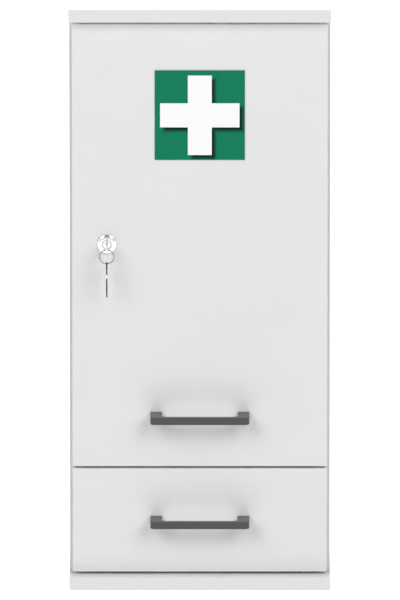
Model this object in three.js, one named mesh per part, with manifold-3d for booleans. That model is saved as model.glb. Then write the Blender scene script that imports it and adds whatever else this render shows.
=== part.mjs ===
import * as THREE from 'three';
import { mergeVertices } from 'three/addons/utils/BufferGeometryUtils.js';
import Module from 'manifold-3d';

// All lengths are millimetres. +Z is up, the front faces -Y, +X is to the right.
// The origin is the middle of the base board's underside.

// Overall sizes
const OVERALL_WIDTH = 400;
const OVERALL_DEPTH = 350;
const OVERALL_HEIGHT = 921;

// Boards
const TOP_THICK = 20;
const BASE_THICK = 21;
const BOARD = 18;
const BACK_THICK = 5;
const SIDE_INSET = 1;
const RAIL_HEIGHT = 80;
const RAIL_HOLE_RADIUS = 3.5;
const RAIL_HOLE_REACH = 130;
const BACK_GROOVE = 6;

// Fronts
const FRONT_THICK = 18;
const FRONT_RECESS = 14.5;
const FRONT_GAP = 3;
const FRONT_REVEAL = 4.25;
const BASE_GAP = 5;
const MIDDLE_GAP = 4;
const TOP_GAP = 6.5;
const DRAWER_FRONT_HEIGHT = 164.5;

// Clearances
const SEAM = 0.25;
const REST = 0.3;
const SLIP = 0.4;

// Shelves and their pins
const SHELF_SETBACK = 25;
const SHELF_END_GAP = 1;
const PIN_RADIUS = 2.5;
const PIN_IN = 9;
const PIN_OUT = 10;
const PIN_SETBACK = 40;
const PIN_PITCH = 32;

// Sign
const SIGN_WIDTH = 137;
const SIGN_HEIGHT = 141;
const SIGN_THICK = 1.2;
const SIGN_DROP = 72.25;
const CROSS_WIDTH = 121;
const CROSS_HEIGHT = 125.5;
const CROSS_POST = 36.5;
const CROSS_BEAM = 38;
const CROSS_THICK = 0.8;

// Handles
const DOOR_HANDLE_RISE = 81.5;
const DRAWER_HANDLE_RISE = 84;
const HANDLE_LENGTH = 151.5;
const HANDLE_HEIGHT = 11.25;
const HANDLE_REACH = 36;
const HANDLE_BAR = 8;
const HANDLE_POST = 18;
const HANDLE_OUTER_ROUND = 7;
const HANDLE_INNER_ROUND = 7;
const SCREW_SPACING = 128;
const SCREW_RADIUS = 2;
const SCREW_BITE = 12;
const SCREW_HEAD_RADIUS = 4;
const SCREW_HEAD = 2.2;

// Hinges
const HINGE_INSET = 92;
const AXIS_FROM_EDGE = 7;
const AXIS_FROM_BACK = 8.5;
const CUP_RADIUS = 17.5;
const CUP_EDGE = 2.6;
const CUP_WALL = 1;
const CUP_DEPTH = 12.5;
const CUP_FLOOR = 0.9;
const FLANGE_LIP = 0.8;
const FLANGE_THICK = 1.2;
const FLANGE_WIDTH = 17;
const FLANGE_LENGTH = 62;
const HINGE_PIN_RADIUS = 1.2;
const EYE_RADIUS = 2.6;
const EYE_HALF = 4;
const EAR_WIDTH = 3.4;
const EAR_SIDE = 3;
const NECK_THICK = 2.5;
const NECK_REACH = 12.5;
const ARM_LENGTH = 72;
const ARM_HALF = 7;
const ARM_WIDEN = 8;
const PLATE_LENGTH = 46;
const PLATE_HALF = 8;
const WING_LENGTH = 16;
const WING_HALF = 24;
const WING_THICK = 2.2;

// Buffers
const BUFFER_RADIUS = 4;
const BUFFER_INSET = 12;
const BUFFER_SIDE = 6;

// Lock
const LOCK_FROM_EDGE = 53;
const LOCK_HEIGHT = 548;
const ROSETTE_RADIUS = 15;
const ROSETTE_THICK = 4.5;
const ROSETTE_CHAMFER = 2;
const BARREL_RADIUS = 10;
const PLUG_RADIUS = 6;
const KEYWAY_DEPTH = 27.5;
const CASE_LEFT_GAP = 2.5;
const CASE_WIDTH = 60;
const CASE_HEIGHT = 46;
const CASE_DEPTH = 17.5;
const CASE_WALL = 1.5;
const BOLT_THICK = 7;
const BOLT_HEIGHT = 14;
const BOLT_THROW = 10;
const BOLT_TAIL = 6;
const FOLLOWER_RADIUS = 1.2;
const SCROLL_START = 4;
const SCROLL_RIM = 1.5;
const SCROLL_THICK = 3.5;
const SCROLL_GROOVE = 2.2;
const STRIKE_WIDTH = 17;
const STRIKE_HEIGHT = 44;
const STRIKE_THICK = 2;

// Keys and ring
const KEY_LENGTH = 56;
const KEY_THICK = 2;
const BOW_RADIUS = 11;
const BOW_HOLE_RADIUS = 2.4;
const BOW_RIM = 1.8;
const BLADE_HEIGHT = 8;
const KEY_STANDOFF = 30;
const RING_RADIUS = 11;
const RING_WIRE = 0.9;

// Drawer
const BOX_SIDE = 12;
const BOX_RISE = 14;
const BOX_HEIGHT = 105;
const BOX_FLOOR = 5;
const BOX_FLOOR_RISE = 10;
const BOX_GROOVE = 6;
const SLIDE_SPACE = 12.7;
const SLIDE_LENGTH = 280;
const SLIDE_HEIGHT = 45;
const SLIDE_STEEL = 1.2;
const SLIDE_SETBACK = 2;
const SLIDE_RISE = 40;

// Facets of round shapes
const ROUND_FINE = 40;
const ROUND_MID = 24;
const ROUND_SMALL = 12;
const WELD = 1e-4;

// Planes that follow from the sizes
const halfWidth = OVERALL_WIDTH / 2;
const frontY = -OVERALL_DEPTH / 2;
const rearY = OVERALL_DEPTH / 2;
const topUnder = OVERALL_HEIGHT - TOP_THICK;
const sideOuter = halfWidth - SIDE_INSET;
const sideInner = sideOuter - BOARD;
const faceY = frontY + FRONT_RECESS;
const frontBackY = faceY + FRONT_THICK;
const carcassY = frontBackY + FRONT_GAP;
const edgeX = sideOuter - FRONT_REVEAL;
const drawerLow = BASE_THICK + BASE_GAP;
const drawerHigh = drawerLow + DRAWER_FRONT_HEIGHT;
const doorLow = drawerHigh + MIDDLE_GAP;
const doorHigh = topUnder - TOP_GAP;
const dividerLow = (drawerHigh + doorLow - BOARD) / 2;
const dividerHigh = dividerLow + BOARD;
const backRear = rearY - BOARD - SEAM;
const backFront = backRear - BACK_THICK;

const wasm = await Module();
wasm.setup();

// Turns a closed surface into a body that can be cut and joined
function solid(geometry) {
  const bare = geometry.clone();
  bare.deleteAttribute('normal');
  bare.deleteAttribute('uv');
  const welded = mergeVertices(bare, WELD);
  const mesh = new wasm.Mesh({
    numProp: 3,
    vertProperties: new Float32Array(welded.attributes.position.array),
    triVerts: new Uint32Array(welded.index.array),
  });
  return new wasm.Manifold(mesh);
}

// Turns a body back into a surface
function surface(body) {
  const mesh = body.getMesh();
  const geometry = new THREE.BufferGeometry();
  geometry.setAttribute('position', new THREE.BufferAttribute(new Float32Array(mesh.vertProperties), 3));
  geometry.setIndex(new THREE.BufferAttribute(new Uint32Array(mesh.triVerts), 1));
  geometry.computeVertexNormals();
  return geometry;
}

// Adds shapes together
function join(first, ...others) {
  let body = solid(first);
  for (const other of others) {
    body = body.add(solid(other));
  }
  return surface(body);
}

// Takes shapes away from the first one
function cut(first, ...tools) {
  let body = solid(first);
  for (const tool of tools) {
    body = body.subtract(solid(tool));
  }
  return surface(body);
}

// Keeps what two shapes share
function common(first, second) {
  return surface(solid(first).intersect(solid(second)));
}

// A box between two corners
function slab(x0, x1, y0, y1, z0, z1) {
  const geometry = new THREE.BoxGeometry(2, 2, 2);
  const place = geometry.attributes.position;
  for (let i = 0; i < place.count; i += 1) {
    const x = place.getX(i) < 0 ? x0 : x1;
    const y = place.getY(i) < 0 ? y0 : y1;
    const z = place.getZ(i) < 0 ? z0 : z1;
    place.setXYZ(i, x, y, z);
  }
  return geometry;
}

// Round bars along each axis
function rodY(radius, x, z, y0, y1, sides) {
  const geometry = new THREE.CylinderGeometry(radius, radius, y1 - y0, sides);
  return geometry.translate(x, (y0 + y1) / 2, z);
}

function rodX(radius, y, z, x0, x1, sides) {
  const geometry = new THREE.CylinderGeometry(radius, radius, x1 - x0, sides);
  return geometry.rotateZ(Math.PI / 2).translate((x0 + x1) / 2, y, z);
}

function rodZ(radius, x, y, z0, z1, sides) {
  const geometry = new THREE.CylinderGeometry(radius, radius, z1 - z0, sides);
  return geometry.rotateX(Math.PI / 2).translate(x, y, (z0 + z1) / 2);
}

// Outlines drawn out along Z, along Y and along X
function drawnZ(outline, z0, z1, steps) {
  const options = { depth: z1 - z0, bevelEnabled: false, curveSegments: steps };
  return new THREE.ExtrudeGeometry(outline, options).translate(0, 0, z0);
}

function drawnY(outline, y0, y1, steps) {
  return drawnZ(outline, -y1, -y0, steps).rotateX(Math.PI / 2);
}

function drawnX(outline, x0, x1, steps) {
  const turn = new THREE.Matrix4().makeBasis(
    new THREE.Vector3(0, 1, 0),
    new THREE.Vector3(0, 0, 1),
    new THREE.Vector3(1, 0, 0),
  );
  return drawnZ(outline, x0, x1, steps).applyMatrix4(turn);
}

function outlineOf(points) {
  return new THREE.Shape(points.map(([u, v]) => new THREE.Vector2(u, v)));
}

// Finishes
const FINISH = {
  board: { color: 0xe9e9e7, roughness: 0.45, metalness: 0 },
  back: { color: 0xe4e4e2, roughness: 0.6, metalness: 0 },
  handle: { color: 0x55585b, roughness: 0.45, metalness: 0.6 },
  chrome: { color: 0xd8dadc, roughness: 0.15, metalness: 1 },
  steel: { color: 0xb4b8bb, roughness: 0.35, metalness: 1 },
  green: { color: 0x1c7f5e, roughness: 0.5, metalness: 0 },
  white: { color: 0xfafafa, roughness: 0.5, metalness: 0 },
  buffer: { color: 0xdfe4e6, roughness: 0.3, metalness: 0 },
};

const cabinet = new THREE.Group();
cabinet.name = 'medical_cabinet';

function group(parent, name) {
  const made = new THREE.Group();
  made.name = name;
  parent.add(made);
  return made;
}

function piece(parent, name, geometry, finish) {
  const mesh = new THREE.Mesh(geometry, new THREE.MeshStandardMaterial(finish));
  mesh.name = name;
  parent.add(mesh);
  return mesh;
}

// Body of the cabinet
const carcass = group(cabinet, 'carcass');
piece(
  carcass,
  'top_panel',
  slab(-halfWidth, halfWidth, frontY, rearY, topUnder, OVERALL_HEIGHT),
  FINISH.board,
);
piece(carcass, 'base_panel', slab(-halfWidth, halfWidth, frontY, rearY, 0, BASE_THICK), FINISH.board);

// Shelf heights share the space above the divider evenly
const shelfClear = (topUnder - dividerHigh - 2 * BOARD) / 3;
const lowerShelf = dividerHigh + shelfClear;
const upperShelf = lowerShelf + BOARD + shelfClear;
const shelfFront = carcassY + SHELF_SETBACK;
const shelfBack = backFront - SHELF_END_GAP;
const pinFront = shelfFront + PIN_SETBACK;
const pinBack = shelfBack - PIN_SETBACK;
const pinDrop = REST + PIN_RADIUS;

// Lock planes that the left side also needs
const lockX = LOCK_FROM_EDGE - edgeX;
const caseBackY = frontBackY + CASE_DEPTH;
const boltBack = caseBackY - CASE_WALL - SLIP;
const boltFront = boltBack - BOLT_THICK;
const boltMid = (boltFront + boltBack) / 2;
const strikeFront = boltMid - STRIKE_WIDTH / 2;
const strikeBack = boltMid + STRIKE_WIDTH / 2;

// Side boards with the back groove and the pin holes
function sideBoard(sign) {
  const near = Math.min(sign * sideInner, sign * sideOuter);
  const far = Math.max(sign * sideInner, sign * sideOuter);
  const grooveA = sign * sideInner;
  const grooveB = sign * (sideInner + BACK_GROOVE);
  const tools = [
    slab(
      Math.min(grooveA, grooveB),
      Math.max(grooveA, grooveB),
      backFront - SEAM,
      backRear + SEAM,
      0,
      OVERALL_HEIGHT,
    ),
  ];
  const holeA = sign * (sideInner - SEAM);
  const holeB = sign * (sideInner + PIN_IN + SLIP);
  const holeLow = Math.min(holeA, holeB);
  const holeHigh = Math.max(holeA, holeB);
  for (const shelf of [lowerShelf, upperShelf]) {
    for (const step of [-1, 0, 1]) {
      for (const y of [pinFront, pinBack]) {
        const z = shelf - pinDrop + step * PIN_PITCH;
        tools.push(rodX(PIN_RADIUS + REST, y, z, holeLow, holeHigh, ROUND_SMALL));
      }
    }
  }
  if (sign < 0) {
    const depth = STRIKE_THICK + SEAM;
    tools.push(
      slab(
        -sideInner - depth,
        -sideInner,
        strikeFront - SEAM,
        strikeBack + SEAM,
        LOCK_HEIGHT - STRIKE_HEIGHT / 2 - SEAM,
        LOCK_HEIGHT + STRIKE_HEIGHT / 2 + SEAM,
      ),
      slab(
        -sideInner - BOLT_THROW - SLIP,
        -sideInner,
        boltFront - 2 * SLIP,
        boltBack + 2 * SLIP,
        LOCK_HEIGHT - BOLT_HEIGHT / 2 - 2 * SLIP,
        LOCK_HEIGHT + BOLT_HEIGHT / 2 + 2 * SLIP,
      ),
    );
  }
  return cut(slab(near, far, carcassY, rearY, BASE_THICK + SEAM, topUnder - SEAM), ...tools);
}
piece(carcass, 'left_side', sideBoard(-1), FINISH.board);
piece(carcass, 'right_side', sideBoard(1), FINISH.board);

// Back panel and wall rail, drilled together for the wall screws
const backReach = sideInner + BACK_GROOVE - SEAM;
const railReach = sideInner - SEAM;
const railLow = topUnder - SEAM - RAIL_HEIGHT;
const railMid = railLow + RAIL_HEIGHT / 2;
function wallHole(x) {
  return rodY(RAIL_HOLE_RADIUS, x, railMid, backFront - BOARD, rearY + BOARD, ROUND_MID);
}
const wallHoles = [wallHole(-RAIL_HOLE_REACH), wallHole(RAIL_HOLE_REACH)];
piece(
  carcass,
  'back_panel',
  cut(slab(-backReach, backReach, backFront, backRear, BASE_THICK + SEAM, topUnder - SEAM), ...wallHoles),
  FINISH.back,
);
piece(
  carcass,
  'wall_rail',
  cut(slab(-railReach, railReach, rearY - BOARD, rearY, railLow, topUnder - SEAM), ...wallHoles),
  FINISH.board,
);
piece(
  carcass,
  'divider',
  slab(-railReach, railReach, carcassY, backFront - SEAM, dividerLow, dividerHigh),
  FINISH.board,
);

// Shelves on pins
const shelves = group(carcass, 'shelves');
const shelfReach = sideInner - SHELF_END_GAP;
for (const [name, z] of [['lower', lowerShelf], ['upper', upperShelf]]) {
  piece(
    shelves,
    `${name}_shelf`,
    slab(-shelfReach, shelfReach, shelfFront, shelfBack, z, z + BOARD),
    FINISH.board,
  );
  for (const [side, sign] of [['left', -1], ['right', 1]]) {
    for (const [row, y] of [['front', pinFront], ['back', pinBack]]) {
      const pin = rodX(PIN_RADIUS, 0, 0, -PIN_OUT, PIN_IN, ROUND_SMALL);
      const placed = piece(shelves, `${name}_${side}_${row}_pin`, pin, FINISH.steel);
      placed.position.set(sign * sideInner, y, z - pinDrop);
      placed.rotation.z = sign < 0 ? Math.PI : 0;
    }
  }
}

// Strike plate let into the left side
const boltSlot = slab(
  -sideInner - 2 * STRIKE_THICK,
  -sideInner + STRIKE_THICK,
  boltFront - SLIP,
  boltBack + SLIP,
  LOCK_HEIGHT - BOLT_HEIGHT / 2 - SLIP,
  LOCK_HEIGHT + BOLT_HEIGHT / 2 + SLIP,
);
const strikeBlank = slab(
  -sideInner - STRIKE_THICK,
  -sideInner,
  strikeFront,
  strikeBack,
  LOCK_HEIGHT - STRIKE_HEIGHT / 2,
  LOCK_HEIGHT + STRIKE_HEIGHT / 2,
);
piece(carcass, 'lock_strike', cut(strikeBlank, boltSlot), FINISH.steel);

// Hinge shapes, drawn at height zero
const axisX = edgeX - AXIS_FROM_EDGE;
const axisY = frontBackY - AXIS_FROM_BACK;
const cupX = edgeX - CUP_EDGE - CUP_RADIUS;
const cupBottom = frontBackY - CUP_DEPTH;
const cupInner = CUP_RADIUS - CUP_WALL;
const earLow = EYE_HALF + SLIP;
const earHigh = earLow + EAR_WIDTH;
const neckLeft = axisX - NECK_REACH;
const armLeft = neckLeft - NECK_THICK;
const armEnd = axisY + ARM_LENGTH;
const armStart = carcassY + ARM_WIDEN;

function hingeCup() {
  const cupOuter = rodY(CUP_RADIUS, cupX, 0, cupBottom, frontBackY + FLANGE_THICK, ROUND_FINE);
  const lip = rodY(
    CUP_RADIUS + FLANGE_LIP,
    cupX,
    0,
    frontBackY + SEAM,
    frontBackY + FLANGE_THICK,
    ROUND_FINE,
  );
  const wings = slab(
    cupX - FLANGE_WIDTH / 2,
    cupX + FLANGE_WIDTH / 2,
    frontBackY + SEAM,
    frontBackY + FLANGE_THICK,
    -FLANGE_LENGTH / 2,
    FLANGE_LENGTH / 2,
  );
  const hollow = rodY(
    cupInner,
    cupX,
    0,
    cupBottom + CUP_FLOOR,
    frontBackY + 2 * FLANGE_THICK,
    ROUND_FINE,
  );
  const shell = cut(join(cupOuter, lip, wings), hollow);
  const earTop = axisY + EAR_SIDE;
  const earLeft = axisX - EAR_SIDE;
  const earRight = cupX + CUP_RADIUS;
  const inside = rodY(CUP_RADIUS - CUP_WALL / 2, cupX, 0, cupBottom + CUP_FLOOR / 2, earTop, ROUND_FINE);
  const upperEar = common(slab(earLeft, earRight, cupBottom, earTop, earLow, earHigh), inside);
  const lowerEar = common(slab(earLeft, earRight, cupBottom, earTop, -earHigh, -earLow), inside);
  const pinHole = rodZ(HINGE_PIN_RADIUS + REST, axisX, axisY, -earHigh, earHigh, ROUND_SMALL);
  return cut(join(shell, upperEar, lowerEar), pinHole);
}

function hingePin() {
  return rodZ(HINGE_PIN_RADIUS, axisX, axisY, SLIP - earHigh, earHigh - SLIP, ROUND_SMALL);
}

function hingeArm() {
  const half = NECK_THICK / 2;
  const eye = rodZ(EYE_RADIUS, axisX, axisY, -EYE_HALF, EYE_HALF, ROUND_MID);
  const neck = slab(armLeft, axisX, axisY - half, axisY + half, -EYE_HALF, EYE_HALF);
  const leg = slab(armLeft, neckLeft, axisY - half, armEnd, -EYE_HALF, EYE_HALF);
  const body = slab(armLeft, neckLeft, armStart, armEnd, -ARM_HALF, ARM_HALF);
  const bore = rodZ(HINGE_PIN_RADIUS + REST, axisX, axisY, -2 * EYE_HALF, 2 * EYE_HALF, ROUND_SMALL);
  return cut(join(eye, neck, leg, body), bore);
}

function hingePlate() {
  const right = sideInner - SEAM;
  const block = slab(neckLeft + SEAM, right, armEnd - PLATE_LENGTH, armEnd, -PLATE_HALF, PLATE_HALF);
  const middle = armEnd - PLATE_LENGTH / 2;
  const wings = slab(
    right - WING_THICK,
    right,
    middle - WING_LENGTH / 2,
    middle + WING_LENGTH / 2,
    -WING_HALF,
    WING_HALF,
  );
  return join(block, wings);
}

// Handle shape, drawn with its back at zero and its middle at zero
function handleBar() {
  const half = HANDLE_LENGTH / 2;
  const innerHalf = half - HANDLE_POST;
  const innerY = HANDLE_BAR - HANDLE_REACH;
  const out = HANDLE_OUTER_ROUND;
  const inn = HANDLE_INNER_ROUND;
  const outline = new THREE.Shape();
  outline.moveTo(-half, -SEAM);
  outline.lineTo(-half, out - HANDLE_REACH);
  outline.absarc(out - half, out - HANDLE_REACH, out, Math.PI, Math.PI * 1.5, false);
  outline.absarc(half - out, out - HANDLE_REACH, out, Math.PI * 1.5, Math.PI * 2, false);
  outline.lineTo(half, -SEAM);
  outline.lineTo(innerHalf, -SEAM);
  outline.absarc(innerHalf - inn, innerY + inn, inn, 0, -Math.PI / 2, true);
  outline.absarc(inn - innerHalf, innerY + inn, inn, -Math.PI / 2, -Math.PI, true);
  outline.lineTo(-innerHalf, -SEAM);
  const bar = drawnZ(outline, -HANDLE_HEIGHT / 2, HANDLE_HEIGHT / 2, 6);
  const reach = SCREW_SPACING / 2;
  const deep = -SCREW_BITE - REST;
  const holeA = rodY(SCREW_RADIUS + REST, -reach, 0, deep, SEAM, ROUND_SMALL);
  const holeB = rodY(SCREW_RADIUS + REST, reach, 0, deep, SEAM, ROUND_SMALL);
  return cut(bar, holeA, holeB);
}

function handleScrew() {
  const shank = rodY(SCREW_RADIUS, 0, 0, -SCREW_BITE, FRONT_THICK + SCREW_HEAD, ROUND_SMALL);
  const head = rodY(
    SCREW_HEAD_RADIUS,
    0,
    0,
    FRONT_THICK + SEAM,
    FRONT_THICK + SCREW_HEAD,
    ROUND_MID,
  );
  return join(shank, head);
}

function screwHole(x, z) {
  return rodY(SCREW_RADIUS + REST, x, z, faceY - BOARD, frontBackY + BOARD, ROUND_SMALL);
}

function addHandle(parent, name, z) {
  const bar = piece(parent, `${name}_handle`, handleBar(), FINISH.handle);
  bar.position.set(0, faceY, z);
  for (const [side, sign] of [['left', -1], ['right', 1]]) {
    const screw = piece(parent, `${name}_handle_${side}_screw`, handleScrew(), FINISH.steel);
    screw.position.set(sign * SCREW_SPACING / 2, faceY, z);
  }
}

// Door
const door = group(cabinet, 'door');
const doorHandleZ = doorLow + DOOR_HANDLE_RISE;
const hingeHeights = [['lower', doorLow + HINGE_INSET], ['upper', doorHigh - HINGE_INSET]];
const doorTools = [
  rodY(BARREL_RADIUS + REST, lockX, LOCK_HEIGHT, faceY - BOARD, frontBackY + BOARD, ROUND_MID),
  screwHole(-SCREW_SPACING / 2, doorHandleZ),
  screwHole(SCREW_SPACING / 2, doorHandleZ),
];
for (const [, z] of hingeHeights) {
  doorTools.push(
    rodY(CUP_RADIUS + REST, cupX, z, cupBottom - SLIP, frontBackY + BOARD, ROUND_FINE),
  );
}
piece(
  door,
  'door_panel',
  cut(slab(-edgeX, edgeX, faceY, frontBackY, doorLow, doorHigh), ...doorTools),
  FINISH.board,
);
addHandle(door, 'door', doorHandleZ);

for (const [name, z] of hingeHeights) {
  piece(door, `${name}_hinge_cup`, hingeCup(), FINISH.steel).position.z = z;
  piece(door, `${name}_hinge_pin`, hingePin(), FINISH.steel).position.z = z;
  piece(carcass, `${name}_hinge_arm`, hingeArm(), FINISH.steel).position.z = z;
  piece(carcass, `${name}_hinge_plate`, hingePlate(), FINISH.steel).position.z = z;
}

for (const [name, z] of [['lower', doorLow + BUFFER_INSET], ['upper', doorHigh - BUFFER_INSET]]) {
  const dot = rodY(BUFFER_RADIUS, 0, 0, frontBackY + SEAM, carcassY - REST, ROUND_SMALL);
  piece(door, `${name}_buffer`, dot, FINISH.buffer).position.set(BUFFER_SIDE - edgeX, 0, z);
}

// Sign with its cross
const signMid = doorHigh - SIGN_DROP - SIGN_HEIGHT / 2;
const signBack = faceY - SEAM;
const signFront = signBack - SIGN_THICK;
const signX = SIGN_WIDTH / 2;
const signZ = SIGN_HEIGHT / 2;
const signPlate = slab(-signX, signX, signFront, signBack, -signZ, signZ);
piece(door, 'sign_plate', signPlate, FINISH.green).position.z = signMid;
const crossX = CROSS_WIDTH / 2;
const crossZ = CROSS_HEIGHT / 2;
const postX = CROSS_POST / 2;
const beamZ = CROSS_BEAM / 2;
const crossOutline = outlineOf([
  [-postX, -crossZ], [postX, -crossZ], [postX, -beamZ], [crossX, -beamZ], [crossX, beamZ], [postX, beamZ],
  [postX, crossZ], [-postX, crossZ], [-postX, beamZ], [-crossX, beamZ], [-crossX, -beamZ], [-postX, -beamZ],
]);
const crossBack = signFront - SEAM;
const cross = drawnY(crossOutline, crossBack - CROSS_THICK, crossBack, 1);
piece(door, 'sign_cross', cross, FINISH.white).position.z = signMid;

// Lock: rosette and barrel in the door
const lock = group(door, 'lock');
function turned(points, sides) {
  const profile = points.map(([r, y]) => new THREE.Vector2(r, y));
  profile.push(profile[0].clone());
  return new THREE.LatheGeometry(profile, sides);
}
const plugBore = PLUG_RADIUS + REST;
const rosetteFront = faceY - ROSETTE_THICK;
const rosette = turned(
  [
    [plugBore, rosetteFront],
    [ROSETTE_RADIUS - ROSETTE_CHAMFER, rosetteFront],
    [ROSETTE_RADIUS, rosetteFront + ROSETTE_CHAMFER],
    [ROSETTE_RADIUS, faceY - SEAM],
    [BARREL_RADIUS, faceY - SEAM],
    [BARREL_RADIUS, frontBackY],
    [plugBore, frontBackY],
  ],
  ROUND_FINE,
);
piece(lock, 'lock_barrel', rosette, FINISH.chrome).position.set(lockX, 0, LOCK_HEIGHT);

// Lock case on the back of the door, open towards the door
const caseLeft = CASE_LEFT_GAP - sideInner;
const caseRight = caseLeft + CASE_WIDTH;
const caseHalf = CASE_HEIGHT / 2;
const caseShell = slab(
  caseLeft,
  caseRight,
  frontBackY + SEAM,
  caseBackY,
  LOCK_HEIGHT - caseHalf,
  LOCK_HEIGHT + caseHalf,
);
const caseHollow = slab(
  caseLeft + CASE_WALL,
  caseRight - CASE_WALL,
  frontBackY - BOARD,
  caseBackY - CASE_WALL,
  LOCK_HEIGHT - caseHalf + CASE_WALL,
  LOCK_HEIGHT + caseHalf - CASE_WALL,
);
const caseMouth = slab(
  caseLeft - CASE_WALL,
  caseLeft + 2 * CASE_WALL,
  boltFront - SLIP,
  boltBack + SLIP,
  LOCK_HEIGHT - BOLT_HEIGHT / 2 - SLIP,
  LOCK_HEIGHT + BOLT_HEIGHT / 2 + SLIP,
);
piece(lock, 'lock_case', cut(caseShell, caseHollow, caseMouth), FINISH.steel);

// Plug with its keyway and the scroll disc that drives the bolt
const scrollBack = boltFront - SLIP;
const scrollFront = scrollBack - SCROLL_THICK;
const scrollHalf = FOLLOWER_RADIUS + 2 * SLIP;
const scrollRadius = SCROLL_START + BOLT_THROW + scrollHalf + SCROLL_RIM;
function scrollOutline() {
  const spare = 0.3;
  const steps = 56;
  const inner = [];
  const outer = [];
  for (let i = 0; i <= steps; i += 1) {
    const turn = -spare + (2 * Math.PI + 2 * spare) * i / steps;
    const radius = SCROLL_START + BOLT_THROW * turn / (2 * Math.PI);
    const angle = Math.PI + turn;
    inner.push([(radius - scrollHalf) * Math.cos(angle), (radius - scrollHalf) * Math.sin(angle)]);
    outer.push([(radius + scrollHalf) * Math.cos(angle), (radius + scrollHalf) * Math.sin(angle)]);
  }
  return outlineOf([...outer, ...inner.reverse()]);
}
const bladeHalf = BLADE_HEIGHT / 2;
const keyway = slab(
  -KEY_THICK / 2 - REST,
  KEY_THICK / 2 + REST,
  rosetteFront - BOARD,
  rosetteFront + KEYWAY_DEPTH,
  -bladeHalf - REST,
  bladeHalf + REST,
);
const plugShape = cut(
  join(
    rodY(PLUG_RADIUS, 0, 0, rosetteFront, scrollFront + SEAM, ROUND_MID),
    rodY(scrollRadius, 0, 0, scrollFront, scrollBack, ROUND_FINE),
  ),
  keyway,
  drawnY(scrollOutline(), scrollBack - SCROLL_GROOVE, scrollBack + SCROLL_GROOVE, 1),
);
piece(lock, 'lock_plug', plugShape, FINISH.chrome).position.set(lockX, 0, LOCK_HEIGHT);

// Bolt with the follower that runs in the scroll
const boltTip = caseLeft + SEAM;
const followerX = lockX - SCROLL_START;
const boltShape = join(
  slab(
    boltTip,
    followerX + BOLT_TAIL,
    boltFront,
    boltBack,
    LOCK_HEIGHT - BOLT_HEIGHT / 2,
    LOCK_HEIGHT + BOLT_HEIGHT / 2,
  ),
  rodY(
    FOLLOWER_RADIUS,
    followerX,
    LOCK_HEIGHT,
    scrollBack - SCROLL_GROOVE + SLIP,
    boltMid,
    ROUND_SMALL,
  ),
);
piece(lock, 'lock_bolt', boltShape, FINISH.steel);

// Keys, drawn from the middle of the bow's hole towards the tip
function keyShape() {
  const bowMid = BOW_RADIUS - BOW_HOLE_RADIUS - BOW_RIM;
  const tip = KEY_LENGTH - BOW_HOLE_RADIUS - BOW_RIM;
  const root = bowMid + Math.sqrt(BOW_RADIUS * BOW_RADIUS - bladeHalf * bladeHalf);
  const start = Math.asin(bladeHalf / BOW_RADIUS);
  const pitch = (tip - root) / 8;
  const outline = new THREE.Shape();
  outline.moveTo(root, bladeHalf);
  outline.absarc(bowMid, 0, BOW_RADIUS, start, 2 * Math.PI - start, false);
  outline.lineTo(root + 3 * pitch, -bladeHalf);
  outline.lineTo(root + 3.5 * pitch, -bladeHalf / 4);
  outline.lineTo(root + 4 * pitch, -bladeHalf / 2);
  outline.lineTo(root + 4.5 * pitch, -bladeHalf / 8);
  outline.lineTo(root + 5.2 * pitch, -bladeHalf * 0.7);
  outline.lineTo(root + 5.8 * pitch, -bladeHalf / 3);
  outline.lineTo(root + 6.4 * pitch, -bladeHalf / 2);
  outline.lineTo(root + 7 * pitch, -bladeHalf / 6);
  outline.lineTo(tip, bladeHalf / 6);
  outline.lineTo(tip - pitch / 2, bladeHalf);
  const hole = new THREE.Path();
  hole.absarc(0, 0, BOW_HOLE_RADIUS, 0, 2 * Math.PI, true);
  outline.holes.push(hole);
  return drawnX(outline, -KEY_THICK / 2, KEY_THICK / 2, ROUND_MID);
}
const keys = group(lock, 'keys');
const holeY = faceY - KEY_STANDOFF;
const hang = BOW_HOLE_RADIUS - RING_WIRE - REST;
const ringMid = LOCK_HEIGHT - hang - RING_RADIUS;
const spareZ = ringMid - RING_RADIUS - hang;
piece(keys, 'key', keyShape(), FINISH.chrome).position.set(lockX, holeY, LOCK_HEIGHT);
const ring = piece(
  keys,
  'key_ring',
  new THREE.TorusGeometry(RING_RADIUS, RING_WIRE, 8, ROUND_FINE).rotateX(Math.PI / 2),
  FINISH.chrome,
);
ring.position.set(lockX, holeY, ringMid);
const spare = piece(keys, 'spare_key', keyShape(), FINISH.chrome);
spare.position.set(lockX, holeY, spareZ);
spare.rotation.x = -Math.PI / 2;

// Drawer front and box
const drawer = group(cabinet, 'drawer');
const drawerHandleZ = drawerLow + DRAWER_HANDLE_RISE;
piece(
  drawer,
  'drawer_front',
  cut(
    slab(-edgeX, edgeX, faceY, frontBackY, drawerLow, drawerHigh),
    screwHole(-SCREW_SPACING / 2, drawerHandleZ),
    screwHole(SCREW_SPACING / 2, drawerHandleZ),
  ),
  FINISH.board,
);
addHandle(drawer, 'drawer', drawerHandleZ);
const boxOuter = sideInner - SLIDE_SPACE;
const boxInner = boxOuter - BOX_SIDE;
const boxLow = BASE_THICK + BOX_RISE;
const boxHigh = boxLow + BOX_HEIGHT;
const boxStart = frontBackY + SEAM;
const slideStart = carcassY + SLIDE_SETBACK;
const slideEnd = slideStart + SLIDE_LENGTH;
const boxEnd = slideEnd;
const floorLow = boxLow + BOX_FLOOR_RISE;
const floorHigh = floorLow + BOX_FLOOR;
const floorReach = boxInner + BOX_GROOVE - SEAM;
const floorEnd = boxEnd - BOX_SIDE - SEAM;

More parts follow.
